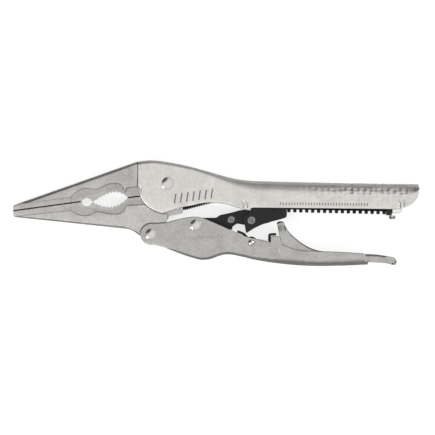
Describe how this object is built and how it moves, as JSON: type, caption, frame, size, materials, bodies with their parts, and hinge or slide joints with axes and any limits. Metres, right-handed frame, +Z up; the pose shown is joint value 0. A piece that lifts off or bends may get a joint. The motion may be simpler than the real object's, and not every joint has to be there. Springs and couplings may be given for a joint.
{
  "type": "locking pliers",
  "caption": "Long-nose locking pliers: the lower jaw and handle swing on rivets, a toggle link on a sliding shoe locks them against a toothed rack.",
  "frame": {"origin": "axis of the jaw pivot rivet, on the flat of its lower head, on which the tool lies", "axes": "+X from the jaws to the handle ends, +Y from the lower handle to the upper handle, +Z up through the thickness"},
  "size_m": [0.2796, 0.073, 0.016],
  "materials": {
    "satin_steel": "satin nickel",
    "forged_steel": "satin nickel over forging",
    "rivet_steel": "bright",
    "black_oxide": "black oxide",
    "dark_rivet": "dull",
    "spring_wire": "oiled black wire"
  },
  "bodies": {
    "upper_handle": {"upper_handle": "satin_steel", "upper_jaw": "forged_steel", "jaw_pivot_rivet": "rivet_steel", "spring_anchor_pin": "rivet_steel", "rack": "black_oxide", "rack_clip": "satin_steel", "rack_stop_screw": "rivet_steel"},
    "lower_jaw": {"lower_jaw": "forged_steel", "jaw_tail_pin": "rivet_steel", "jaw_spring": "spring_wire"},
    "lower_handle": {"lower_handle": "satin_steel", "handle_rivet": "rivet_steel", "link_rivet": "rivet_steel", "link_rings": "rivet_steel", "release_lever_rivet": "rivet_steel", "release_spring": "spring_wire"},
    "shoe": {"shoe_plate_near": "black_oxide", "shoe_plate_far": "black_oxide", "shoe_rivet": "dark_rivet", "shoe_guide_pin": "black_oxide", "pawl_spring": "spring_wire"},
    "link": {"link_plate_near": "black_oxide", "link_plate_far": "black_oxide", "link_cross_rivet": "dark_rivet", "link_spacer": "black_oxide"},
    "pawl": {"pawl": "black_oxide"},
    "release_lever": {"release_lever": "satin_steel"}
  },
  "joints": [
    {"name": "jaw_open", "type": "hinge", "parent": "upper_handle", "child": "lower_jaw", "pos_m": [0, 0, 0.008], "axis": [0, 0, 1], "range_deg": [0, 28], "deforming": ["jaw_spring"]},
    {"name": "handle_swing", "type": "hinge", "parent": "lower_jaw", "child": "lower_handle", "pos_m": [-0.0115, -0.0349, 0.008], "axis": [0, 0, 1], "range_deg": [-44, 0]},
    {"name": "shoe_slide", "type": "slide", "parent": "upper_handle", "child": "shoe", "axis": [0.9998, -0.0209, 0], "range_m": [0, 0.0165]},
    {"name": "link_swing", "type": "hinge", "parent": "shoe", "child": "link", "pos_m": [0.0574, -0.0253, 0.008], "axis": [0, 0, 1], "range_deg": [0, 16]},
    {"name": "pawl_tilt", "type": "hinge", "parent": "shoe", "child": "pawl", "pos_m": [0.0574, -0.0253, 0.008], "axis": [0, 0, 1], "range_deg": [0, 3.8]},
    {"name": "lever_press", "type": "hinge", "parent": "lower_handle", "child": "release_lever", "pos_m": [0.0573, -0.0408, 0.008], "axis": [0, 0, 1], "range_deg": [0, 4]}
  ],
  "couplings": [
    {"joint": "handle_swing", "follows": "jaw_open", "ratio": -1.5536},
    {"joint": "shoe_slide", "follows": "jaw_open", "m_per_rad": 0.033559},
    {"joint": "link_swing", "follows": "jaw_open", "ratio": 0.55357}
  ]
}
